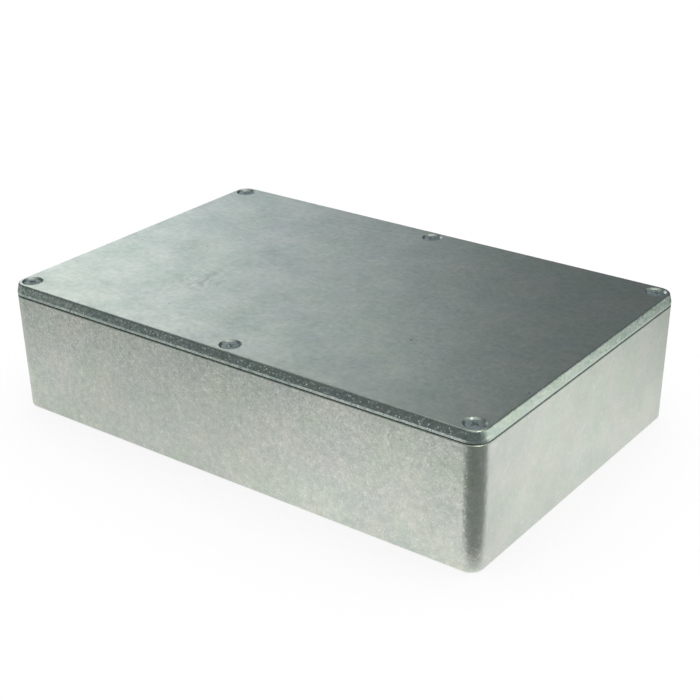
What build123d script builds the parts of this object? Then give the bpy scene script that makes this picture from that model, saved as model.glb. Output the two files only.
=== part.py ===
from build123d import *

import os
from math import cos, radians, tan

# Die-cast aluminium enclosure: a deep tray, a lid that laps over its rim, and six countersunk screws.
# Millimetres. X runs along the length, Y across the width, Z up; the origin is under the middle of the floor.

# Case, over everything
case_length = 222.0
case_width = 146.0
case_height = 55.0
corner_radius = 6.5
draft_angle = 1.1

# Base casting
wall_thickness = 2.5
floor_thickness = 2.3
bottom_edge_radius = 1.4
floor_fillet_radius = 1.2
rim_chamfer = 0.3

# Lid casting: an upright land round its foot, then a bevelled side up to the rounded top edge
lid_edge_height = 4.65
lid_plate_thickness = 2.5
lid_land_height = 1.2
lid_bevel_angle = 13.0
lid_top_radius = 0.9
lid_foot_chamfer = 0.2

# Lap joint between the two castings
skirt_thickness = 1.2
lap_clearance = 0.2
parting_gap = 0.4
tongue_chamfer = 0.3

# Screw pillars, and the screws' distance from the case's sides
screw_inset_x = 6.3
screw_inset_y = 6.5
pillar_radius = 4.8
thread_depth = 14.0

# Countersunk screws
screw_diameter = 3.5
screw_length = 12.5
head_diameter = 6.8
head_angle = 90.0
head_edge = 0.2
head_sink = 0.6
seat_clearance = 0.06
thread_clearance = 0.1
lid_hole_clearance = 0.35
tip_chamfer = 0.6

# Cross recess in the screw heads
recess_width = 3.7
recess_slot = 0.95
recess_tip_radius = 0.5
recess_depth = 1.6

# Guides on the long walls that hold circuit boards on edge
board_slot = 2.0
guide_rib_width = 1.5
guide_rib_height = 2.2
guide_pitch = 24.0
guide_drop = 8.0
guide_lead = 2.5

# Heights of the joint: the plate sits on the pillars and the tongue, the skirt stops short of the ledge
seat_height = case_height - lid_plate_thickness
lid_edge_bottom = case_height - lid_edge_height
ledge_height = lid_edge_bottom - parting_gap

# Plan sizes
tongue_inset = skirt_thickness + lap_clearance
cavity_length = case_length - 2 * wall_thickness
cavity_width = case_width - 2 * wall_thickness
wall_lean = ledge_height * tan(radians(draft_angle))

# Screw places in plan, and the turn of each cross recess where its screw came tight
screw_x = case_length / 2 - screw_inset_x
screw_y = case_width / 2 - screw_inset_y
screw_places = [(x, y) for x in (-screw_x, 0, screw_x) for y in (-screw_y, screw_y)]
screw_turns = [12, 35, 64, 20, 78, 50]

# Heights and radii of a screw and of its seat in the lid
head_height = case_height - head_sink
head_radius = head_diameter / 2
shank_radius = screw_diameter / 2
cone_slope = tan(radians(head_angle / 2))
cone_top = head_height - head_edge
cone_bottom = cone_top - (head_radius - shank_radius) / cone_slope
tip_height = head_height - screw_length
seat_offset = seat_clearance / cos(radians(head_angle / 2))
mouth_radius = head_radius + (case_height - cone_top) * cone_slope + seat_offset

# Board guides: their face, and a root that stays inside the leaning wall at every height
guide_face = cavity_width / 2 - guide_rib_height
guide_root = (cavity_width / 2 + case_width / 2 - wall_lean) / 2
guide_top = seat_height - guide_drop
guides_per_bay = int((screw_x - 2 * (pillar_radius + wall_lean)) // guide_pitch)

os.makedirs("parts", exist_ok=True)


# Plan of the six screw pillars at their tops, each one run out into the wall or walls behind it
with BuildSketch() as pillar_plan:
    with Locations((0, screw_y), (screw_x, screw_y)):
        Circle(pillar_radius)
        Rectangle(2 * pillar_radius, screw_inset_y, align=(Align.CENTER, Align.MIN))
    with Locations((screw_x, screw_y)):
        Rectangle(screw_inset_x, 2 * pillar_radius, align=(Align.MIN, Align.CENTER))
        Rectangle(screw_inset_x, screw_inset_y, align=(Align.MIN, Align.MIN))
    mirror(about=Plane.XZ)
    mirror(about=Plane.YZ)


# Core that leaves the hollow in the tray. It narrows towards the floor, so the walls lean in, and the
# pillars cut out of it swell towards the floor by the same angle
with BuildPart() as core:
    with BuildSketch(Plane.XY.offset(seat_height)):
        Rectangle(cavity_length, cavity_width)
    extrude(amount=seat_height - floor_thickness, dir=(0, 0, -1), taper=draft_angle)
    fillet(core.edges().group_by(Axis.Z)[0], floor_fillet_radius)
    with BuildSketch(Plane.XY.offset(seat_height)):
        add(pillar_plan.sketch)
    extrude(amount=seat_height - floor_thickness, dir=(0, 0, -1), taper=-draft_angle, mode=Mode.SUBTRACT)


# One guide rib for the +Y wall: its side view, with a sloped lead-in at the top
with BuildPart() as guide_rib:
    with BuildSketch(Plane.YZ):
        with BuildLine():
            Polyline(
                (guide_root, floor_thickness / 2),
                (guide_face, floor_thickness / 2),
                (guide_face, guide_top - guide_lead),
                (cavity_width / 2, guide_top),
                (guide_root, guide_top),
                close=True,
            )
        make_face()
    extrude(amount=guide_rib_width / 2, both=True)


# Base: the tray with its stepped rim
with BuildPart() as base:
    with BuildSketch(Plane.XY.offset(ledge_height)):
        RectangleRounded(case_length, case_width, corner_radius)
    extrude(amount=ledge_height, dir=(0, 0, -1), taper=draft_angle)
    fillet(base.edges().group_by(Axis.Z)[0], bottom_edge_radius)
    chamfer(base.edges().group_by(Axis.Z)[-1], rim_chamfer)

    # Tongue that stands up inside the lid's skirt
    with BuildSketch(Plane.XY.offset(ledge_height)):
        RectangleRounded(
            case_length - 2 * tongue_inset, case_width - 2 * tongue_inset, corner_radius - tongue_inset
        )
    extrude(amount=seat_height - ledge_height)
    chamfer(base.edges().group_by(Axis.Z)[-1], tongue_chamfer)

    # The hollow
    add(core.part, mode=Mode.SUBTRACT)

    # Board guides: pairs of ribs in each bay between a corner pillar and a middle one, on both long walls
    for bay_middle in (-screw_x / 2, screw_x / 2):
        for slot in range(guides_per_bay):
            slot_x = bay_middle + (slot - (guides_per_bay - 1) / 2) * guide_pitch
            for side in (-1, 1):
                rib_x = slot_x + side * (board_slot + guide_rib_width) / 2
                with Locations(Location((rib_x, 0, 0)), Location((rib_x, 0, 0), (0, 0, 180))):
                    add(guide_rib.part)

    # Tapped holes down the pillars
    with Locations(*[(x, y, seat_height) for x, y in screw_places]):
        Hole(shank_radius + thread_clearance, thread_depth)


# Lid: a plate with a shallow skirt that laps over the tongue
with BuildPart() as lid:
    with BuildSketch(Plane.XY.offset(lid_edge_bottom)):
        RectangleRounded(case_length, case_width, corner_radius)
    extrude(amount=lid_land_height)
    chamfer(lid.edges().group_by(Axis.Z)[0], lid_foot_chamfer)
    with BuildSketch(Plane.XY.offset(lid_edge_bottom + lid_land_height)):
        RectangleRounded(case_length, case_width, corner_radius)
    extrude(amount=lid_edge_height - lid_land_height, taper=lid_bevel_angle)
    fillet(lid.edges().group_by(Axis.Z)[-1], lid_top_radius)

    # Recess under the plate, inside the skirt
    with BuildSketch(Plane.XY.offset(lid_edge_bottom)):
        RectangleRounded(
            case_length - 2 * skirt_thickness, case_width - 2 * skirt_thickness, corner_radius - skirt_thickness
        )
    extrude(amount=seat_height - lid_edge_bottom, mode=Mode.SUBTRACT)

    # Countersunk screw holes
    with Locations(*[(x, y, case_height) for x, y in screw_places]):
        CounterSinkHole(shank_radius + lid_hole_clearance, mouth_radius, counter_sink_angle=head_angle)


# Cross recess of a screw head: a cross cut down to a blunt cone
with BuildPart() as cross_recess:
    with BuildSketch(Plane.XY.offset(head_height)):
        Rectangle(recess_width, recess_slot)
        Rectangle(recess_slot, recess_width)
    extrude(amount=-recess_depth)
    with Locations((0, 0, head_height)):
        Cone(
            recess_tip_radius,
            recess_width / 2,
            recess_depth,
            align=(Align.CENTER, Align.CENTER, Align.MAX),
            mode=Mode.INTERSECT,
        )


# One countersunk screw, standing on the Z axis at its real height
with BuildPart() as screw:
    with BuildSketch(Plane.XZ):
        with BuildLine():
            Polyline(
                (0, head_height),
                (head_radius, head_height),
                (head_radius, cone_top),
                (shank_radius, cone_bottom),
                (shank_radius, tip_height + tip_chamfer),
                (shank_radius - tip_chamfer, tip_height),
                (0, tip_height),
                close=True,
            )
        make_face()
    revolve(axis=Axis.Z)
    add(cross_recess.part, mode=Mode.SUBTRACT)


# The six screws, each turned about its own axis
with BuildPart() as lid_screws:
    for (x, y), turn in zip(screw_places, screw_turns):
        with Locations(Location((x, y, 0), (0, 0, turn))):
            add(screw.part)


base.part.label = "base"
lid.part.label = "lid"
lid_screws.part.label = "lid_screws"

export_step(base.part, "parts/base.step")
export_step(lid.part, "parts/lid.step")
export_step(lid_screws.part, "parts/lid_screws.step")
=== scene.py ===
# %% [markdown]
# # A die-cast aluminium case
#
# The case is an instrument enclosure: a deep tray cast in aluminium, a cast lid that laps over its rim, and six
# countersunk screws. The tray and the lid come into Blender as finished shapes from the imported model, and here they
# get their cast skin. The screws are small and plain there, so they are modelled again with their threads and cross
# recesses. All lengths are in metres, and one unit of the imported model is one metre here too.

# %% Load the case
from math import cos, pi, radians, sin

import bmesh
import bpy
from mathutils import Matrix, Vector


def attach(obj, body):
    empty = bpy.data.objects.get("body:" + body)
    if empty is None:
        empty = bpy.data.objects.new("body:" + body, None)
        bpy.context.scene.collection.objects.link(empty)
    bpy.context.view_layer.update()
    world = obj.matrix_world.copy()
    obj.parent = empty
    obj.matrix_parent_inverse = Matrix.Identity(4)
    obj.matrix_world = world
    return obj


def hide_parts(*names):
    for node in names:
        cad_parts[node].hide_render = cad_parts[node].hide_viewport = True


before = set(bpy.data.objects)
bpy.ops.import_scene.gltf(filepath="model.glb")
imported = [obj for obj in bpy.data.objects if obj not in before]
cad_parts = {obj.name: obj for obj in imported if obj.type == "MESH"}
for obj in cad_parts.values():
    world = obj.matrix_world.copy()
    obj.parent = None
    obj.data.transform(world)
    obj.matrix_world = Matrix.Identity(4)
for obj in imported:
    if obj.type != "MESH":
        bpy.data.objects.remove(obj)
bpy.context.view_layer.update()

mm = 0.001

# %% [markdown]
# ## Colours and nodes
#
# A colour picked on a screen is written as sRGB hex, but a shader works with linear light. One function turns the
# first into the second, so every finish below can name its colours the way a paint chart would.
#
# A procedural material is a small machine of nodes. It could be wired by hand in the shader editor; in code the same
# few steps come back for every node, so one function adds a node, sets its options and fills or links its sockets.

# %% Two helpers for materials
def linear(hex_colour):
    """The linear colour of an sRGB hex value such as "c9d0c8"."""
    channels = [int(hex_colour[i:i + 2], 16) / 255 for i in (0, 2, 4)]
    return tuple(c / 12.92 if c <= 0.04045 else ((c + 0.055) / 1.055) ** 2.4 for c in channels) + (1.0,)


def add_node(tree, kind, settings=None, sockets=None):
    """Adds one node to the tree, with its settings, and with its sockets set to values or linked to other nodes."""
    node = tree.nodes.new(kind)
    for name, value in (settings or {}).items():
        setattr(node, name, value)
    for name, value in (sockets or {}).items():
        if isinstance(value, bpy.types.NodeSocket):
            tree.links.new(value, node.inputs[name])
        else:
            node.inputs[name].default_value = value
    return node


def new_material(name):
    """An empty material with its output node, ready for a shader."""
    material = bpy.data.materials.new(name)
    material.use_nodes = True
    material.node_tree.nodes.clear()
    output = add_node(material.node_tree, "ShaderNodeOutputMaterial")
    return material, material.node_tree, output


print("linear grey of 808080:", round(linear("808080")[0], 3))

# %% [markdown]
# ## Die-cast aluminium: the marks of the tumbling
#
# The real castings come out of a steel mould and are then tumbled with small stones, which take off the sharp edges.
# That leaves a satin grey skin with three kinds of mark: cloudy patches about 2 cm wide, a mottle of shallow dents
# 2 to 3 mm wide, and small spots where a stone struck, each tilted its own way, so that some of them glitter. The
# short end walls took fewer blows than the long ones, so there the marks are worn down to a third. The clouds are also
# a faint stain, a little warmer here and cooler there, as the oxide is thinner or thicker.
#
# The skin could be drawn as a picture wrapped round the case, but that would show seams and blur close up. Patterns
# computed from the place on the object have neither fault, so each kind of mark is one pattern of its real size. Only
# the spots, in cells of 0.8 mm, are coarser than the real ones of about 0.2 mm, which would be finer than a pixel.

# %% Clouds, mottle and facets
def tumbling_marks(tree, place):
    """The clouds and their stain, the mottle, the struck spots, and a random colour for the facet of each spot."""
    patches = add_node(tree, "ShaderNodeTexNoise", sockets={
        "Vector": place, "Scale": 1 / (18 * mm), "Detail": 4.0, "Roughness": 0.6}).outputs
    mottle = add_node(tree, "ShaderNodeTexNoise", sockets={
        "Vector": place, "Scale": 1 / (2.6 * mm), "Detail": 3.0, "Roughness": 0.6}).outputs[0]
    cells = add_node(tree, "ShaderNodeTexVoronoi", sockets={"Vector": place, "Scale": 1 / (0.8 * mm)}).outputs
    spots = add_node(tree, "ShaderNodeMapRange", sockets={
        "Value": cells["Distance"], "From Min": 0.38, "From Max": 0.2}).outputs[0]
    folded = add_node(tree, "ShaderNodeVectorMath", {"operation": "ABSOLUTE"}, {0: place}).outputs[0]
    outwards = add_node(tree, "ShaderNodeSeparateXYZ", sockets={0: folded}).outputs[0]
    worn = add_node(tree, "ShaderNodeMapRange", sockets={
        "Value": outwards, "From Min": 109.5 * mm, "From Max": 109.95 * mm, "To Min": 1.0, "To Max": 0.3}).outputs[0]
    spots = add_node(tree, "ShaderNodeMath", {"operation": "MULTIPLY"}, {0: spots, 1: worn}).outputs[0]
    mottle = add_node(tree, "ShaderNodeMix", sockets={0: worn, 2: 0.5, 3: mottle}).outputs[0]
    return patches[0], patches["Color"], mottle, spots, cells["Color"]


print("marks of three sizes: 18 mm, 2.6 mm and 0.8 mm")

# %% [markdown]
# ## Die-cast aluminium: the metal
#
# Bare metal has no colour under its surface, only a mirror with a tint, so nearly all that the eye sees of the skin
# is reflection that each dent and facet turns its own way. The dents go through a Bump node. A facet is flat, and a
# Bump node would round it, so the facets' random colours are added to the normal itself.

# %% The tint and the shader
def skin_tint(tree, clouds, stain, mottle, spots, cloudiness, dark, light):
    """A tint that wavers between two greys, lightest in the struck spots, with a trace of the clouds' own stain."""
    tone = add_node(tree, "ShaderNodeMath", {"operation": "MULTIPLY"}, {0: clouds, 1: cloudiness}).outputs[0]
    tone = add_node(tree, "ShaderNodeMath", {"operation": "MULTIPLY_ADD"}, {0: mottle, 1: 0.9, 2: tone}).outputs[0]
    tone = add_node(tree, "ShaderNodeMath", {"operation": "MULTIPLY_ADD"}, {0: spots, 1: 0.45, 2: tone}).outputs[0]
    spread = add_node(tree, "ShaderNodeMapRange", sockets={
        "Value": tone, "From Min": 0.23 + cloudiness / 2, "From Max": 0.98 + cloudiness / 2})
    grey = add_node(tree, "ShaderNodeMix", {"data_type": "RGBA"}, {
        0: spread.outputs[0], 6: linear(dark), 7: linear(light)}).outputs[2]
    return add_node(tree, "ShaderNodeMix", {"data_type": "RGBA"}, {0: 0.07, 6: grey, 7: stain}).outputs[2]


def bare_metal(tree, output, tint, gloss, height, depth, facets, tilt):
    """A metal with dents of that depth in metres, and with facets tilted by up to that share of their normal."""
    dents = add_node(tree, "ShaderNodeBump", sockets={"Strength": 1.0, "Distance": depth, "Height": height})
    turn = add_node(tree, "ShaderNodeVectorMath", {"operation": "SUBTRACT"}, {0: facets, 1: (0.5, 0.5, 0.5)})
    turn = add_node(tree, "ShaderNodeVectorMath", {"operation": "SCALE"}, {0: turn.outputs[0], "Scale": tilt})
    turned = add_node(tree, "ShaderNodeVectorMath", {"operation": "ADD"}, {0: dents.outputs[0], 1: turn.outputs[0]})
    normal = add_node(tree, "ShaderNodeVectorMath", {"operation": "NORMALIZE"}, {0: turned.outputs[0]})
    shader = add_node(tree, "ShaderNodeBsdfPrincipled", sockets={
        "Base Color": tint, "Metallic": 1.0, "Roughness": gloss, "Normal": normal.outputs[0]})
    tree.links.new(shader.outputs[0], output.inputs["Surface"])


print("reflectance of the palest casting:", round(linear("e3e5db")[1], 2))

# %% [markdown]
# ## The tray's finish
#
# The tray is only tumbled. Where the clouds are bright the stones worked longer and the skin is a little smoother, so
# the clouds drive the roughness as well as the tint. The stones also left short curved scratches, which the eye sees
# as pale hairs. A hair could be a long thin noise, but those all run one way. The line along which a noise crosses its
# middle value curls like a real scratch, and the mottle breaks it into short lengths. The real ones are 0.05 mm wide
# and are drawn about 0.3 mm wide, so that they show.

# %% Tumbled die-cast aluminium
tray_skin, tree, output = new_material("tumbled die-cast aluminium")
place = add_node(tree, "ShaderNodeTexCoord").outputs["Object"]
clouds, stain, mottle, spots, facets = tumbling_marks(tree, place)
waves = add_node(tree, "ShaderNodeTexNoise", sockets={
    "Vector": place, "Scale": 1 / (3.5 * mm), "Detail": 1.0, "Distortion": 1.5}).outputs[0]
crest = add_node(tree, "ShaderNodeMath", {"operation": "COMPARE"}, {0: waves, 1: 0.5, 2: 0.016}).outputs[0]
scratches = add_node(tree, "ShaderNodeMapRange", sockets={
    "Value": mottle, "From Min": 0.45, "From Max": 0.6, "To Max": 0.4}).outputs[0]
scratches = add_node(tree, "ShaderNodeMath", {"operation": "MULTIPLY"}, {0: scratches, 1: crest}).outputs[0]
tint = skin_tint(tree, clouds, stain, mottle, spots, cloudiness=0.45, dark="c0c9c0", light="e5e7dc")
tint = add_node(tree, "ShaderNodeMix", {"data_type": "RGBA"}, {0: scratches, 6: tint, 7: linear("f8faf4")}).outputs[2]
gloss = add_node(tree, "ShaderNodeMapRange", sockets={
    "Value": clouds, "From Min": 0.3, "From Max": 0.7, "To Min": 0.38, "To Max": 0.34}).outputs[0]
tilt = add_node(tree, "ShaderNodeMath", {"operation": "MULTIPLY_ADD"}, {0: spots, 1: 0.27, 2: 0.07}).outputs[0]
bare_metal(tree, output, tint, gloss, mottle, depth=0.1 * mm, facets=facets, tilt=tilt)
print(tray_skin.name, "has", len(tree.nodes), "nodes")

# %% [markdown]
# ## The lid's finish: where it differs
#
# The lid is tumbled like the tray, and then two things happen to it. Its top is rubbed flat lengthwise, which wears
# the facets down and leaves faint streaks and a few pits. And its six countersinks are cut by a machine, which leaves
# bright, smooth cones with fine rings. One casting carries all of these, so the material finds out where it is: the
# rubbed part by its height, and the cut part by its distance from the nearest screw. The screws stand mirror-fashion
# on both sides of the middle, so the place is folded first, and two screws then stand for all six.

# %% Masks for the rubbed top and the cut cones
screw_x, screw_y = 104.7 * mm, 66.5 * mm
mouth_radius = 4.29 * mm
lid_skin, tree, output = new_material("rubbed die-cast aluminium")
place = add_node(tree, "ShaderNodeTexCoord").outputs["Object"]
height_above = add_node(tree, "ShaderNodeSeparateXYZ", sockets={0: place}).outputs[2]
rubbed = add_node(tree, "ShaderNodeMapRange", sockets={
    "Value": height_above, "From Min": 54.5 * mm, "From Max": 54.95 * mm}).outputs[0]

folded = add_node(tree, "ShaderNodeVectorMath", {"operation": "ABSOLUTE"}, {0: place}).outputs[0]
folded = add_node(tree, "ShaderNodeVectorMath", {"operation": "MULTIPLY"}, {0: folded, 1: (1, 1, 0)}).outputs[0]
corner = add_node(tree, "ShaderNodeVectorMath", {"operation": "DISTANCE"}, {
    0: folded, 1: (screw_x, screw_y, 0)}).outputs["Value"]
middle = add_node(tree, "ShaderNodeVectorMath", {"operation": "DISTANCE"}, {
    0: folded, 1: (0, screw_y, 0)}).outputs["Value"]
from_screw = add_node(tree, "ShaderNodeMath", {"operation": "MINIMUM"}, {0: corner, 1: middle}).outputs[0]
cast = add_node(tree, "ShaderNodeMapRange", sockets={
    "Value": from_screw, "From Min": mouth_radius - 0.1 * mm, "From Max": mouth_radius}).outputs[0]
print("six countersinks,", round(2 * mouth_radius / mm, 2), "mm wide at the top")

# %% [markdown]
# ## The lid's finish: streaks, combing, pits and rings
#
# A streak is a noise squeezed along one direction, so a Mapping node shrinks the place there. On the top they run
# along the length. The lid's bevelled sides show upright ones instead, where the casting left its mould. A pit is
# the middle of a Voronoi cell, and only some of the cells get one. The cutter's rings are a sine of the distance. In
# one place something hard has knocked a few shallow dents into the lid's face, so a noise's peaks are let through near
# that place only.

# %% Patterns of the lid
clouds, stain, mottle, spots, facets = tumbling_marks(tree, place)
along = add_node(tree, "ShaderNodeMapping", sockets={"Vector": place, "Scale": (0.2, 1.0, 1.0)}).outputs[0]
upright = add_node(tree, "ShaderNodeMapping", sockets={"Vector": place, "Scale": (1.0, 1.0, 0.12)}).outputs[0]
streaks = add_node(tree, "ShaderNodeTexNoise", sockets={
    "Vector": along, "Scale": 1 / (0.9 * mm), "Detail": 3.0, "Roughness": 0.65}).outputs[0]
combing = add_node(tree, "ShaderNodeTexNoise", sockets={
    "Vector": upright, "Scale": 1 / (0.8 * mm), "Detail": 2.0}).outputs[0]
flat = add_node(tree, "ShaderNodeVectorMath", {"operation": "MULTIPLY"}, {0: place, 1: (1, 1, 0)}).outputs[0]
cells = add_node(tree, "ShaderNodeTexVoronoi", sockets={"Vector": flat, "Scale": 1 / (12 * mm)}).outputs
chosen = add_node(tree, "ShaderNodeMapRange", sockets={
    "Value": cells["Color"], "From Min": 0.35, "From Max": 0.5}).outputs[0]
pits = add_node(tree, "ShaderNodeMapRange", sockets={
    "Value": cells["Distance"], "From Min": 0.05, "From Max": 0.015, "To Max": chosen}).outputs[0]
knocked = add_node(tree, "ShaderNodeVectorMath", {"operation": "DISTANCE"}, {
    0: flat, 1: (-50 * mm, -26 * mm, 0)}).outputs["Value"]
knocked = add_node(tree, "ShaderNodeMapRange", {"interpolation_type": "SMOOTHSTEP"}, {
    "Value": knocked, "From Min": 15 * mm, "From Max": 4 * mm}).outputs[0]
knocks = add_node(tree, "ShaderNodeTexNoise", sockets={
    "Vector": flat, "Scale": 1 / (4.5 * mm), "Detail": 1.0}).outputs[0]
knocks = add_node(tree, "ShaderNodeMapRange", {"interpolation_type": "SMOOTHERSTEP"}, {
    "Value": knocks, "From Min": 0.3, "From Max": 0.8, "To Max": knocked}).outputs[0]
turns = add_node(tree, "ShaderNodeMath", {"operation": "MULTIPLY"}, {0: from_screw, 1: 2 * pi / (0.35 * mm)}).outputs[0]
rings = add_node(tree, "ShaderNodeMath", {"operation": "SINE"}, {0: turns}).outputs[0]
print("patterns of the lid:", len(tree.nodes), "nodes so far")

# %% [markdown]
# ## The lid's finish: put together
#
# Each pattern is now mixed in where its mask says. The relief goes from combing to streaks towards the top, and to
# rings in the cones. Facets fade on the rubbed top and vanish in the cones, and the cones are the smoothest part.

# %% Rubbed die-cast aluminium
relief = add_node(tree, "ShaderNodeMix", sockets={0: rubbed, 2: combing, 3: streaks}).outputs[0]
relief = add_node(tree, "ShaderNodeMath", {"operation": "MULTIPLY_ADD"}, {0: mottle, 1: 0.8, 2: relief}).outputs[0]
relief = add_node(tree, "ShaderNodeMath", {"operation": "MULTIPLY_ADD"}, {0: pits, 1: -1.5, 2: relief}).outputs[0]
relief = add_node(tree, "ShaderNodeMath", {"operation": "MULTIPLY_ADD"}, {0: knocks, 1: -4.0, 2: relief}).outputs[0]
rings = add_node(tree, "ShaderNodeMath", {"operation": "MULTIPLY"}, {0: rings, 1: 0.12}).outputs[0]
relief = add_node(tree, "ShaderNodeMix", sockets={0: cast, 2: rings, 3: relief}).outputs[0]
tilt = add_node(tree, "ShaderNodeMath", {"operation": "MULTIPLY_ADD"}, {0: spots, 1: 0.45, 2: 0.12}).outputs[0]
tilt = add_node(tree, "ShaderNodeMix", sockets={0: rubbed, 2: tilt, 3: 0.05}).outputs[0]
tilt = add_node(tree, "ShaderNodeMath", {"operation": "MULTIPLY"}, {0: tilt, 1: cast}).outputs[0]
gloss = add_node(tree, "ShaderNodeMapRange", sockets={
    "Value": clouds, "From Min": 0.3, "From Max": 0.7, "To Min": 0.35, "To Max": 0.31}).outputs[0]
gloss = add_node(tree, "ShaderNodeMath", {"operation": "MULTIPLY_ADD"}, {0: rubbed, 1: 0.05, 2: gloss}).outputs[0]
edge = add_node(tree, "ShaderNodeMath", {"operation": "PINGPONG"}, {0: rubbed, 1: 0.5}).outputs[0]
gloss = add_node(tree, "ShaderNodeMath", {"operation": "MULTIPLY_ADD"}, {0: edge, 1: -0.36, 2: gloss}).outputs[0]
gloss = add_node(tree, "ShaderNodeMix", sockets={0: cast, 2: 0.29, 3: gloss}).outputs[0]
worn = add_node(tree, "ShaderNodeMapRange", sockets={"Value": streaks, "From Min": 0.1, "From Max": 0.9}).outputs[0]
spots = add_node(tree, "ShaderNodeMix", sockets={0: rubbed, 2: spots, 3: worn}).outputs[0]
tint = skin_tint(tree, clouds, stain, mottle, spots, cloudiness=0.85, dark="bbc6c0", light="e2e7e0")
greened = add_node(tree, "ShaderNodeMix", {"data_type": "RGBA", "blend_type": "MULTIPLY"}, {
    0: 1.0, 6: tint, 7: linear("f9fffd")}).outputs[2]
tint = add_node(tree, "ShaderNodeMix", {"data_type": "RGBA"}, {0: rubbed, 6: greened, 7: tint}).outputs[2]
tint = add_node(tree, "ShaderNodeMix", {"data_type": "RGBA"}, {0: pits, 6: tint, 7: linear("5f6763")}).outputs[2]
tint = add_node(tree, "ShaderNodeMix", {"data_type": "RGBA"}, {0: cast, 6: linear("c4cdca"), 7: tint}).outputs[2]
bare_metal(tree, output, tint, gloss, relief, depth=0.038 * mm, facets=facets, tilt=tilt)
print(lid_skin.name, "has", len(tree.nodes), "nodes")

# %% [markdown]
# ## The castings take their finish
#
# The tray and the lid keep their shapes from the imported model, so only their material slots are filled.

# %% Tray and lid
for node, skin in (("base", tray_skin), ("lid", lid_skin)):
    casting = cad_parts[node]
    casting.data.materials.clear()
    casting.data.materials.append(skin)
    print(node, "has the finish", skin.name)

# %% [markdown]
# ## Zinc-plated steel
#
# The screws are steel with a thin zinc coat. The coat is passivated, which tints it slightly blue and takes the shine
# off it, so a head mirrors a wide part of the tent and all six come out nearly the same grey. A fine noise breaks up
# what shine is left, as the grains of the plating do.

# %% The finish of the screws
def zinc_plate(name):
    """Zinc-plated steel with a blue tint."""
    material, tree, output = new_material(name)
    place = add_node(tree, "ShaderNodeTexCoord").outputs["Object"]
    grains = add_node(tree, "ShaderNodeTexNoise", sockets={
        "Vector": place, "Scale": 1 / (0.25 * mm), "Detail": 2.0}).outputs[0]
    stains = add_node(tree, "ShaderNodeTexNoise", sockets={
        "Vector": place, "Scale": 1 / (1.8 * mm), "Detail": 2.0}).outputs[0]
    colour = add_node(tree, "ShaderNodeMix", {"data_type": "RGBA"}, {
        0: stains, 6: linear("98a4a8"), 7: linear("c2ccd0")})
    gloss = add_node(tree, "ShaderNodeMapRange", sockets={"Value": grains, "To Min": 0.56, "To Max": 0.72})
    bump = add_node(tree, "ShaderNodeBump", sockets={
        "Strength": 0.3, "Distance": 0.02 * mm, "Height": grains})
    shader = add_node(tree, "ShaderNodeBsdfPrincipled", sockets={
        "Base Color": colour.outputs[2], "Metallic": 1.0, "Roughness": gloss.outputs[0],
        "Normal": bump.outputs[0]})
    tree.links.new(shader.outputs[0], output.inputs["Surface"])
    return material


zinc = zinc_plate("zinc-plated steel")
print(zinc.name, "has", len(zinc.node_tree.nodes), "nodes")

# %% [markdown]
# ## One countersunk screw
#
# The lid is held by six M3.5 screws. Such a screw is headed from a length of wire, gets a cross pressed into its head
# and a thread rolled on its shank. It is modelled in the same order, standing on the Z axis at its real height, and
# copied to its six places at the end. Every size is named here first, because the steps below share them. Two small
# helpers do what a hand does with the mouse: one selects whole objects, the other selects faces by their place.

# %% Sizes of a screw
shank_radius = 1.75 * mm
head_radius = 3.4 * mm
head_top = 54.4 * mm
head_edge = 0.2 * mm
cone_height = head_radius - shank_radius
screw_length = 12.5 * mm
thread_pitch = 0.6 * mm
thread_root = shank_radius - 0.34 * mm
neck_bottom = head_top - head_edge - cone_height - 0.6 * mm
screw_tip = head_top - screw_length


def only(*objects):
    """Selects just these objects and makes the first one active."""
    bpy.ops.object.select_all(action="DESELECT")
    for chosen in objects:
        chosen.select_set(True)
    bpy.context.view_layer.objects.active = objects[0]


def select_faces(piece, test):
    """In edit mode, selects only the faces whose centre and normal pass the test."""
    bpy.ops.mesh.select_mode(type="FACE")
    bpy.ops.mesh.select_all(action="DESELECT")
    mesh = bmesh.from_edit_mesh(piece.data)
    for face in mesh.faces:
        face.select_set(test(face.calc_center_median(), face.normal))
    bmesh.update_edit_mesh(piece.data)


print("thread from", round(neck_bottom / mm, 2), "down to", round(screw_tip / mm, 2), "mm")

# %% [markdown]
# ## The head and the neck
#
# A countersunk head is a thin rim over a cone of 90 degrees. It could be drawn as a profile and spun, but a cylinder
# gets there in fewer steps: its lower face is pulled down and drawn in to the shank's width, then pulled down again
# for the smooth neck. The top edge is rounded a little. Three insets, each lifted less than the last, raise the flat
# top to the shallow dome that the heading tool leaves, which catches the light in one soft spot.

# %% Head and neck
bpy.ops.object.select_all(action="DESELECT")
bpy.ops.mesh.primitive_cylinder_add(
    vertices=64, radius=head_radius, depth=head_edge, location=(0, 0, head_top - head_edge / 2))
screw = bpy.context.object
screw.name = "screw"
bpy.ops.object.transform_apply(location=True, rotation=True, scale=True)
bpy.ops.object.mode_set(mode="EDIT")
select_faces(screw, lambda centre, normal: normal.z < -0.9)
bpy.ops.mesh.extrude_region_move(TRANSFORM_OT_translate={"value": (0, 0, -cone_height)})
shrink = shank_radius / head_radius
bpy.ops.transform.resize(value=(shrink, shrink, 1))
bpy.ops.mesh.extrude_region_move(TRANSFORM_OT_translate={"value": (0, 0, -0.75 * mm)})
select_faces(screw, lambda centre, normal: normal.z > 0.9)
bpy.ops.mesh.bevel(offset=0.08 * mm, segments=2, affect="EDGES")
select_faces(screw, lambda centre, normal: normal.z > 0.99)
for rise in (0.15 * mm, 0.12 * mm, 0.07 * mm):
    bpy.ops.mesh.inset(thickness=0.8 * mm)
    bpy.ops.transform.translate(value=(0, 0, rise))
bpy.ops.object.mode_set(mode="OBJECT")
print("head and neck:", len(screw.data.polygons), "faces")

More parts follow.
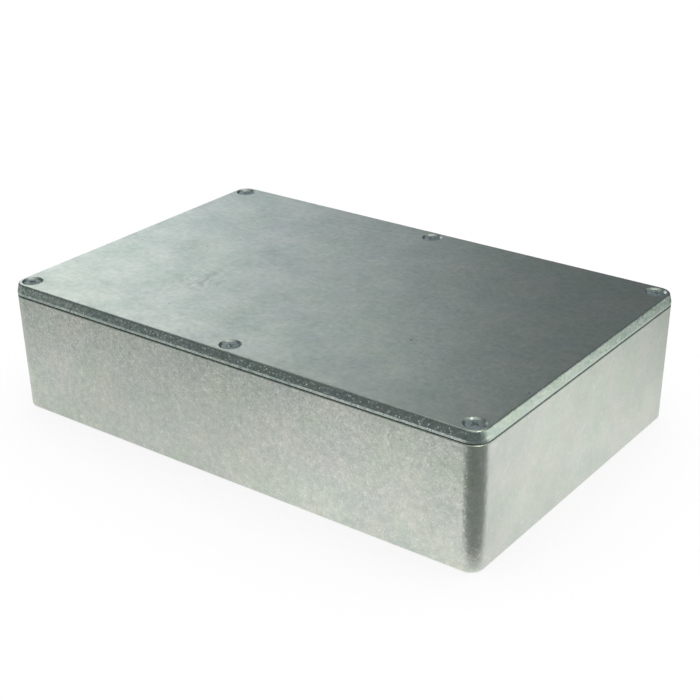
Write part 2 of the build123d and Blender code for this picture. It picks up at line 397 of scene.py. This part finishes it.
# %% [markdown]
# ## The cross recess
#
# The cross is pressed in by a punch with four tapered wings. Cutting it by hand would mean moving many small faces. Two
# blades like the punch's own, each a block that is narrower at its lower end, are instead subtracted from the head with
# a Boolean. A small bevel then softens every sharp edge, as plating and a driver do.

# %% The cross recess
def tapered_blade(name, turn):
    """One blade of the punch that presses the cross: wide at the head's top, narrow at its tip."""
    bpy.ops.object.select_all(action="DESELECT")
    bpy.ops.mesh.primitive_cube_add(
        size=1, scale=(3.9 * mm, 0.95 * mm, 2.4 * mm), location=(0, 0, head_top - 0.6 * mm))
    blade = bpy.context.object
    blade.name = name
    bpy.ops.object.transform_apply(location=True, rotation=True, scale=True)
    bpy.ops.object.mode_set(mode="EDIT")
    select_faces(blade, lambda centre, normal: normal.z < -0.9)
    bpy.ops.transform.resize(value=(0.28, 0.6, 1))
    bpy.ops.object.mode_set(mode="OBJECT")
    blade.rotation_euler = (0, 0, radians(turn))
    bpy.ops.object.transform_apply(location=True, rotation=True, scale=True)
    return blade


def combine(piece, other, operation):
    """Joins, cuts or trims the piece with another closed solid, which is used up."""
    only(piece)
    modifier = piece.modifiers.new(operation, "BOOLEAN")
    modifier.operation = operation
    modifier.object = other
    modifier.solver = "EXACT"
    bpy.ops.object.modifier_apply(modifier=modifier.name)
    bpy.data.objects.remove(other)


for turn in (0, 90):
    combine(screw, tapered_blade("blade", turn), "DIFFERENCE")
only(screw)
soften = screw.modifiers.new("soften", "BEVEL")
soften.limit_method, soften.angle_limit = "ANGLE", radians(35)
soften.width, soften.segments = 0.05 * mm, 2
bpy.ops.object.modifier_apply(modifier=soften.name)
print("head with its recess:", len(screw.data.polygons), "faces")

# %% [markdown]
# ## The thread's outline
#
# A thread is one V that winds down the shank. It could be faked with a stack of rings, but a real helix shows when
# the screws are drawn out. It starts from a plane, the smallest primitive with enough corners. Its corners move to
# the foot, the two sides of the crest and the next foot, and only the three edges along that line are kept.

# %% The thread
bpy.ops.object.select_all(action="DESELECT")
bpy.ops.mesh.primitive_plane_add(size=1)
thread = bpy.context.object
thread.name = "thread"
flank = [(thread_root, 0), (shank_radius, 0.26 * mm), (thread_root, thread_pitch), (shank_radius, 0.34 * mm)]
for (radius, height), vertex in zip(flank, thread.data.vertices):
    vertex.co = (radius, 0, screw_tip - thread_pitch + height)
bpy.ops.object.mode_set(mode="EDIT")
bpy.ops.mesh.select_all(action="SELECT")
bpy.ops.mesh.delete(type="ONLY_FACE")
bpy.ops.mesh.select_mode(type="EDGE")
profile = bmesh.from_edit_mesh(thread.data)
for edge in profile.edges:
    edge.select_set(edge.calc_length() > 0.9 * thread_pitch)
bmesh.update_edit_mesh(thread.data)
bpy.ops.mesh.delete(type="EDGE")
bpy.ops.object.mode_set(mode="OBJECT")
print("outline of the thread:", len(thread.data.edges), "edges")

# %% [markdown]
# ## The thread, swept round the shank
#
# The Screw modifier turns the outline about Z and lowers it by one pitch each turn, so each foot meets the next. The
# helix is made longer than needed at both ends, and Bisect then cuts it level and fills the cut, which makes it a
# closed solid. It reaches a little up into the neck, so that the two can be joined.

# %% The thread, swept
only(thread)
sweep = thread.modifiers.new("sweep", "SCREW")
sweep.screw_offset = thread_pitch
sweep.iterations = int((neck_bottom - screw_tip) / thread_pitch) + 3
sweep.steps = sweep.render_steps = 24
sweep.use_merge_vertices = True
bpy.ops.object.modifier_apply(modifier=sweep.name)
bpy.ops.object.mode_set(mode="EDIT")
bpy.ops.mesh.select_all(action="SELECT")
bpy.ops.mesh.remove_doubles(threshold=0.001 * mm)
bpy.ops.mesh.bisect(plane_co=(0, 0, screw_tip), plane_no=(0, 0, 1), use_fill=True, clear_inner=True)
bpy.ops.mesh.select_all(action="SELECT")
bpy.ops.mesh.bisect(plane_co=(0, 0, neck_bottom + 0.3 * mm), plane_no=(0, 0, 1), use_fill=True, clear_outer=True)
bpy.ops.mesh.select_all(action="SELECT")
bpy.ops.mesh.normals_make_consistent(inside=False)
bpy.ops.object.mode_set(mode="OBJECT")
print("thread:", len(thread.data.polygons), "faces")

# %% [markdown]
# ## The tip, and the screw in one piece
#
# A machine screw starts with a short chamfer, which finds the hole. The chamfer is cut by keeping only what the
# thread shares with a blank, a plain cylinder whose lower edge is bevelled. The thread is then joined to the head
# with a Boolean union, so that the screw is one closed skin.

# %% Pointed tip, and the thread joined to the head
bpy.ops.object.select_all(action="DESELECT")
bpy.ops.mesh.primitive_cylinder_add(
    vertices=48, radius=2.2 * mm, depth=14 * mm, location=(0, 0, screw_tip + 7 * mm))
blank = bpy.context.object
blank.name = "blank"
bpy.ops.object.transform_apply(location=True, rotation=True, scale=True)
bpy.ops.object.mode_set(mode="EDIT")
select_faces(blank, lambda centre, normal: normal.z < -0.9)
bpy.ops.mesh.bevel(offset=1.1 * mm, segments=1, affect="EDGES")
bpy.ops.object.mode_set(mode="OBJECT")
combine(thread, blank, "INTERSECT")
combine(screw, thread, "UNION")
only(screw)
bpy.ops.object.shade_smooth_by_angle(angle=radians(32))
print("whole screw:", len(screw.data.polygons), "faces, from", round(min(v.co.z for v in screw.data.vertices) / mm, 2),
      "to", round(max(v.co.z for v in screw.data.vertices) / mm, 2), "mm")

# %% [markdown]
# ## Six screws in their places
#
# The screws are alike, so one is copied to the four corners and the middles of the long sides. Each was tightened by
# hand and came to rest at its own angle, so each copy is turned by its own amount. Every copy gets a mesh of its own,
# rides on the screws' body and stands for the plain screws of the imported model.

# %% Six screws in the lid
places = {
    "screw_front_left": (-screw_x, -screw_y, 12), "screw_back_left": (-screw_x, screw_y, 35),
    "screw_front_middle": (0, -screw_y, 64), "screw_back_middle": (0, screw_y, 20),
    "screw_front_right": (screw_x, -screw_y, 78), "screw_back_right": (screw_x, screw_y, 50)}
screw.data.materials.append(zinc)
for name, (x, y, turn) in places.items():
    only(screw)
    bpy.ops.object.duplicate(linked=False)
    copy = bpy.context.object
    copy.name = copy.data.name = name
    copy.rotation_euler = (0, 0, radians(turn))
    copy.location = (x, y, 0)
    bpy.ops.object.transform_apply(location=True, rotation=True, scale=True)
    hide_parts("lid_screws")
    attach(copy, "screws")
bpy.data.objects.remove(screw)
print(len(places), "screws in their countersinks")

# %% [markdown]
# ## White paper
#
# The case stands on a sheet of white paper that is lit so evenly that it shows as pure white. The floor could be made
# whiter with more light, but that would bleach the case too. So the paper is a mix: to the eye and to reflections it
# is mostly its own white, with a strength of 1, and the rest is matt paper that still takes the case's soft shadow.
# It lies a hair below the case's foot, so that the two never share a plane, and it is clear from below, so that the
# foot can be looked at too.

# %% White paper
def seen_ray(tree):
    """One for what the eye sees directly, in a reflection or through glass, and zero for light on its way."""
    ray = add_node(tree, "ShaderNodeLightPath").outputs
    direct = add_node(tree, "ShaderNodeMath", {"operation": "MAXIMUM"}, {
        0: ray["Is Camera Ray"], 1: ray["Is Glossy Ray"]})
    return add_node(tree, "ShaderNodeMath", {"operation": "MAXIMUM"}, {
        0: direct.outputs[0], 1: ray["Is Transmission Ray"]}).outputs[0]


paper, tree, output = new_material("white paper")
share = add_node(tree, "ShaderNodeMath", {"operation": "MULTIPLY"}, {0: seen_ray(tree), 1: 0.8})
matt = add_node(tree, "ShaderNodeBsdfDiffuse", sockets={"Color": linear("f6f6f6")})
glow = add_node(tree, "ShaderNodeEmission", sockets={"Color": linear("ffffff"), "Strength": 1.0})
mixed = add_node(tree, "ShaderNodeMixShader", sockets={0: share.outputs[0], 1: matt.outputs[0], 2: glow.outputs[0]})
underneath = add_node(tree, "ShaderNodeNewGeometry").outputs["Backfacing"]
clear = add_node(tree, "ShaderNodeBsdfTransparent")
one_sided = add_node(tree, "ShaderNodeMixShader", sockets={0: underneath, 1: mixed.outputs[0], 2: clear.outputs[0]})
tree.links.new(one_sided.outputs[0], output.inputs["Surface"])

bpy.ops.object.select_all(action="DESELECT")
bpy.ops.mesh.primitive_circle_add(vertices=96, radius=12, fill_type="NGON", location=(0, 0, -0.05 * mm))
floor = bpy.context.object
floor.name = "floor"
floor.data.materials.append(paper)
print("paper", round(floor.dimensions.x, 1), "m across")

# %% [markdown]
# ## What a satin metal mirrors
#
# Bare metal shows what stands round it, and that is where the photograph's light and dark come from. The walls mirror
# the white paper near the case. The upright corner and the lid's bevel mirror the dark studio beyond it. The lid's top
# mirrors one soft window at the back left that fades towards the right.
#
# Each of these could be a lamp of its own. A photographer would hang a dark tent round the table instead, with one
# bright window in it, and that is what is built here. Only reflections see the tent: the eye and the soft daylight
# pass through it, so the background stays white and the shadow on the paper stays faint. Three helpers serve it: a
# cloth that glows and can be faded out, the distance from a piece's middle, and a soft patch of light.

# %% A helper for cloth that only reflections see
def reflected_cloth(piece):
    """Sets up a piece that only reflections see. Returns its node tree, its glow and the mix that covers it."""
    material, tree, output = new_material(piece.name)
    glow = add_node(tree, "ShaderNodeEmission", sockets={"Color": linear("f4fbf8")})
    clear = add_node(tree, "ShaderNodeBsdfTransparent")
    cover = add_node(tree, "ShaderNodeMixShader", sockets={1: clear.outputs[0], 2: glow.outputs[0]})
    tree.links.new(cover.outputs[0], output.inputs["Surface"])
    piece.data.materials.append(material)
    piece.visible_camera = piece.visible_diffuse = piece.visible_shadow = False
    return tree, glow, cover


def distance_from_middle(tree, reach=1.0):
    """How far a point is from its piece's own middle, along the floor, in metres. Along X it reaches further."""
    place = add_node(tree, "ShaderNodeTexCoord").outputs["Object"]
    flat = add_node(tree, "ShaderNodeVectorMath", {"operation": "MULTIPLY"}, {0: place, 1: (1 / reach, 1, 0)})
    return add_node(tree, "ShaderNodeVectorMath", {"operation": "LENGTH"}, {0: flat.outputs[0]}).outputs["Value"]


def lobe(tree, azimuth, elevation, power, strength):
    """A soft round patch of light in that direction. A higher power makes it smaller."""
    place = add_node(tree, "ShaderNodeTexCoord").outputs["Object"]
    way = add_node(tree, "ShaderNodeVectorMath", {"operation": "NORMALIZE"}, {0: place})
    east, up = radians(azimuth), radians(elevation)
    towards = (cos(east) * cos(up), sin(east) * cos(up), sin(up))
    facing = add_node(tree, "ShaderNodeVectorMath", {"operation": "DOT_PRODUCT"}, {0: way.outputs[0], 1: towards})
    ahead = add_node(tree, "ShaderNodeMath", {"operation": "MAXIMUM"}, {0: facing.outputs["Value"], 1: 0.0})
    narrow = add_node(tree, "ShaderNodeMath", {"operation": "POWER"}, {0: ahead.outputs[0], 1: power})
    return add_node(tree, "ShaderNodeMath", {"operation": "MULTIPLY"}, {0: narrow.outputs[0], 1: strength}).outputs[0]


# %% [markdown]
# ## The tent
#
# The tent is a skirt that lies on the paper all round the case, a wall 1.5 m high and a roof. It grows out of one
# ring of edges: pulled outwards for the skirt, up for the wall, inwards for the roof, and closed at the top.

# %% The tent
bpy.ops.object.select_all(action="DESELECT")
bpy.ops.mesh.primitive_circle_add(
    vertices=96, radius=0.1, fill_type="NOTHING", location=(61 * mm, 6 * mm, 0.3 * mm))
tent = bpy.context.object
tent.name = "tent"
bpy.ops.object.mode_set(mode="EDIT")
bpy.ops.mesh.select_mode(type="EDGE")
bpy.ops.mesh.select_all(action="SELECT")
bpy.ops.mesh.extrude_region_move()
bpy.ops.transform.resize(value=(13, 13, 1))
bpy.ops.mesh.extrude_region_move(TRANSFORM_OT_translate={"value": (0, 0, 1.5)})
bpy.ops.mesh.extrude_region_move()
bpy.ops.transform.resize(value=(0.5, 0.5, 1))
bpy.ops.mesh.edge_face_add()
bpy.ops.object.mode_set(mode="OBJECT")
print("tent", [round(size, 2) for size in tent.dimensions], "m")

# %% [markdown]
# ## What the tent shows
#
# Each patch of light is named for what it would be in a studio. Azimuth is measured from +X towards +Y, so the camera
# stands at -53 degrees, and the lid's top mirrors what is near 130. The window is the large soft light there, and
# two small lamps give the glints on the countersinks' walls. The wall at 24 degrees is what the lid's right bevel
# mirrors. Where the light is weak it is slightly blue, as shade is, and so is the cloth low down at the back, which
# gives the far side of the lid its cool sheen. On the paper the skirt fades out towards the case, because the walls
# mirror the bare paper there.

# %% What the tent shows
tree, glow, cover = reflected_cloth(tent)
window = lobe(tree, azimuth=150, elevation=22, power=23, strength=1.64)
door = lobe(tree, azimuth=-155, elevation=2, power=25, strength=0.48)
wall = lobe(tree, azimuth=24, elevation=5, power=10, strength=1.48)
ceiling = lobe(tree, azimuth=-50, elevation=60, power=3, strength=0.45)
skylight = lobe(tree, azimuth=0, elevation=90, power=6, strength=0.45)
back_lamp = lobe(tree, azimuth=127, elevation=29, power=3000, strength=4.2)
front_lamp = lobe(tree, azimuth=-17, elevation=50, power=400, strength=12.0)
brightness = add_node(tree, "ShaderNodeMath", {"operation": "ADD"}, {0: window, 1: 0.105}).outputs[0]
for patch in (door, wall, ceiling, skylight, back_lamp, front_lamp):
    brightness = add_node(tree, "ShaderNodeMath", {"operation": "ADD"}, {0: brightness, 1: patch}).outputs[0]
hue = add_node(tree, "ShaderNodeMix", {"data_type": "RGBA"}, {
    0: brightness, 6: linear("e0edf4"), 7: linear("fcfdee")}).outputs[2]
blue_cloth = lobe(tree, azimuth=130, elevation=4, power=12, strength=1.2)
hue = add_node(tree, "ShaderNodeMix", {"data_type": "RGBA"}, {0: blue_cloth, 6: hue, 7: linear("e2eeff")}).outputs[2]
tree.links.new(hue, glow.inputs["Color"])
tree.links.new(brightness, glow.inputs["Strength"])
edge = add_node(tree, "ShaderNodeMapRange", {"interpolation_type": "SMOOTHSTEP"}, {
    "Value": distance_from_middle(tree, reach=1.45), "From Min": 0.07, "From Max": 0.31})
tree.links.new(edge.outputs[0], cover.inputs[0])
print("the tent shows seven patches of light with", len(tree.nodes), "nodes")

# %% [markdown]
# ## Three dark shapes on the paper
#
# The upright corner mirrors a narrow dark band. The three discs are painted shade: dark shapes that only reflections
# see, lying on the paper. The first is painted shade in front of the camera, where the corner looks straight back, and
# its crisp edge gives that band its two clean sides. A second, much weaker one is painted shade at the back right,
# which keeps the back of the paper from brightening the lid's far bevel. A third, as weak, is a painted contact shadow
# on the paper at the foot of the long side.

# %% Three dark shapes on the paper
def shade(name, x, y, inner, outer, strength, most):
    """A soft dark disc of painted shade that reflections see. It covers most of what is under it up to the inner
    radius.
    """
    bpy.ops.object.select_all(action="DESELECT")
    bpy.ops.mesh.primitive_circle_add(vertices=64, radius=outer, fill_type="NGON", location=(x, y, 0.2 * mm))
    disc = bpy.context.object
    disc.name = name
    tree, glow, cover = reflected_cloth(disc)
    glow.inputs["Strength"].default_value = strength
    edge = add_node(tree, "ShaderNodeMapRange", {"interpolation_type": "SMOOTHSTEP"}, {
        "Value": distance_from_middle(tree), "From Min": outer, "From Max": inner, "To Max": most})
    tree.links.new(edge.outputs[0], cover.inputs[0])


# Painted shade, seen only in reflections: a dark disc on the paper in front of the camera.
shade("camera_shade", 242 * mm, -165 * mm, 150 * mm, 165 * mm, 0.29, 1.0)
# Painted shade at the back right of the paper, seen only in reflections.
shade("back_right_shade", 170 * mm, 160 * mm, 50 * mm, 140 * mm, 0.3, 0.27)
# A painted contact shadow on the paper at the foot of the long side, seen only in reflections.
shade("foot_shadow", -50 * mm, -55 * mm, 40 * mm, 100 * mm, 0.3, 0.18)

# %% [markdown]
# ## One soft lamp
#
# A wide lamp overhead gives the paper its light and the case its faint shadow. It is hidden from reflections, because
# what they see is the tent. Its brightness is set as that of a surface, so that 1 is as bright as white paper.

# %% Lamps
def soft_lamp(name, place, target, width, height, brightness):
    """A rectangular soft lamp aimed at a point. Brightness 1 is as bright as white paper."""
    data = bpy.data.lights.new(name, "AREA")
    data.shape = "RECTANGLE"
    data.size, data.size_y = width, height
    data.energy = brightness * width * height * pi
    lamp = bpy.data.objects.new(name, data)
    bpy.context.scene.collection.objects.link(lamp)
    lamp.location = place
    lamp.rotation_euler = (Vector(target) - Vector(place)).to_track_quat("-Z", "Y").to_euler()
    return lamp


overhead = soft_lamp("lamp_overhead", (0.04, 0.02, 1.55), (0, 0, 0), 1.2, 1.2, 1.3)
overhead.visible_glossy = False
print(overhead.name, "gives", round(overhead.data.energy, 1), "W")

# %% [markdown]
# ## Daylight in the room
#
# Even light from all sides fills the shadows. It is a touch weaker as light than as a background, which is pure white.

# %% Daylight in the room
room = bpy.data.worlds.new("room")
bpy.context.scene.world = room
room.use_nodes = True
tree = room.node_tree
tree.nodes.clear()
strength = add_node(tree, "ShaderNodeMapRange", sockets={"Value": seen_ray(tree), "To Min": 0.97, "To Max": 1.0})
white = add_node(tree, "ShaderNodeBackground", sockets={"Color": linear("ffffff"), "Strength": strength.outputs[0]})
add_node(tree, "ShaderNodeOutputWorld", sockets={"Surface": white.outputs[0]})
print("daylight at", 0.97)

# %% [markdown]
# ## The camera
#
# The camera's place and lens come from the case's corners: the photograph's view was fitted to the eight corners of a
# box of this size, which gave a distance of 0.6 m and a view from 25 degrees above, turned by less than a degree.

# %% Camera
lens = bpy.data.cameras.new("camera")
lens.sensor_width = 36
lens.lens = 74.55
camera = bpy.data.objects.new("camera", lens)
bpy.context.scene.collection.objects.link(camera)
camera.location = (320.95 * mm, -423.59 * mm, 277.65 * mm)
aim = Vector((-3.18 * mm, 10.63 * mm, 22.09 * mm))
camera.rotation_euler = (aim - camera.location).to_track_quat("-Z", "Y").to_euler()
camera.rotation_euler.rotate_axis("Z", radians(-0.68))
bpy.context.scene.camera = camera
print("camera", round(camera.location.length, 3), "m from the middle of the case's foot")

# %% [markdown]
# ## Finish
#
# The plain view transform shows colours as they are written.

# %% Finish
bpy.context.scene.view_settings.view_transform = "Standard"
